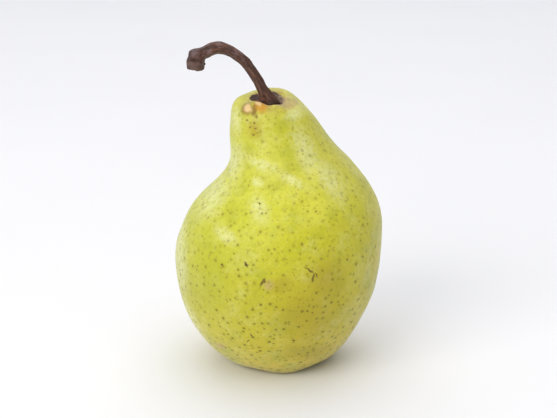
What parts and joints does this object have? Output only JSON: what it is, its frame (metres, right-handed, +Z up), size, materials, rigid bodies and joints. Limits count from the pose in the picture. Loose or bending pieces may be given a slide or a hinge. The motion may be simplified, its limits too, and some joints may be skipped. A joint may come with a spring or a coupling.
{
  "type": "pear",
  "caption": "Whole ripe pear standing on its eye end: round belly, tapering neck leaning to one side, and a bent woody stem with a swollen tip.",
  "frame": {"origin": "on the plane that the pear stands on, under the middle of its widest girth", "axes": "+Z up from the eye end to the stem end, -Y is the front; the stem bends over to -X and a little forward"},
  "size_m": [0.0664, 0.0662, 0.1045],
  "materials": {
    "pear_skin": "waxy satin fruit skin, yellow-green with fine brown dots",
    "stem_wood": "rough dark-brown stem bark",
    "dried_calyx": "dry and papery, dark brown"
  },
  "bodies": {
    "root": {"pear_body": "pear_skin", "stem": "stem_wood", "calyx_sepal_1": "dried_calyx", "calyx_sepal_2": "dried_calyx", "calyx_sepal_3": "dried_calyx", "calyx_sepal_4": "dried_calyx", "calyx_sepal_5": "dried_calyx", "calyx_stamen_tuft": "dried_calyx"}
  },
  "joints": []
}
